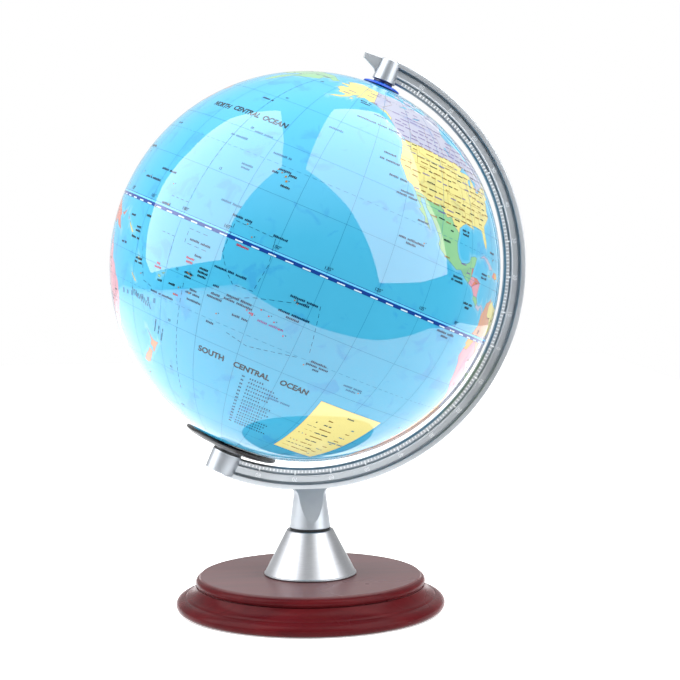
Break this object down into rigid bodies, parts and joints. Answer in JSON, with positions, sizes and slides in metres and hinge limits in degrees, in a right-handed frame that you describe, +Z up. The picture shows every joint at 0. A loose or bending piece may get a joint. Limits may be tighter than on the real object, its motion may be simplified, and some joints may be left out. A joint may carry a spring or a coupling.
{
  "type": "desktop globe on stand",
  "caption": "World globe on a leaning axle, held by a half-circle silver arm on a turned dark wooden base; the ball and its hour dial turn.",
  "frame": {"origin": "centre of the base's underside, on the table top", "axes": "+Z up, the globe's north end leans towards +X in the X-Z plane, and the arm runs round the +X side in that plane"},
  "size_m": [0.2684, 0.25, 0.3596],
  "materials": {
    "felt": "dark green self-adhesive felt",
    "mahogany": "mahogany-red stain under semi-matt lacquer",
    "steel": "bright zinc plate",
    "aluminium": "spun, satin, with a bright turned edge",
    "black_rubber": "matt black",
    "brass": "plain turned brass",
    "satin_silver": "satin silver paint on moulded plastic",
    "printed_map": "printed map under high-gloss clear film",
    "white_nylon": "natural nylon",
    "blue_plastic": "bright blue, semi-gloss",
    "navy_plastic": "dark navy, satin",
    "black_plastic": "black, semi-gloss"
  },
  "bodies": {
    "stand": {"felt_pad": "felt", "wood_base": "mahogany", "clamp_bolt": "steel", "spring_washer": "steel", "flat_washer": "steel", "collar_cone": "aluminium", "seal_ring": "black_rubber", "threaded_insert": "brass", "meridian_arm": "satin_silver", "axle_rod": "steel", "axle_screw_north": "steel", "axle_screw_south": "steel", "hub_cap_north": "satin_silver", "hub_cap_south": "satin_silver", "north_spacer": "navy_plastic", "thrust_washer": "white_nylon", "support_dish": "black_plastic", "south_collar": "black_plastic"},
    "globe": {"north_hemisphere": "printed_map", "south_hemisphere": "printed_map", "equator_ring": "white_nylon", "north_bush": "white_nylon", "south_bush": "white_nylon"},
    "dial": {"hour_dial": "blue_plastic"}
  },
  "joints": [
    {"name": "globe_spin", "type": "hinge", "parent": "stand", "child": "globe", "pos_m": [-0.0017, 0, 0.2224], "axis": [0.3987, 0, 0.9171], "continuous": true},
    {"name": "hour_dial_set", "type": "hinge", "parent": "globe", "child": "dial", "pos_m": [-0.0017, 0, 0.2224], "axis": [0.3987, 0, 0.9171], "continuous": true}
  ]
}
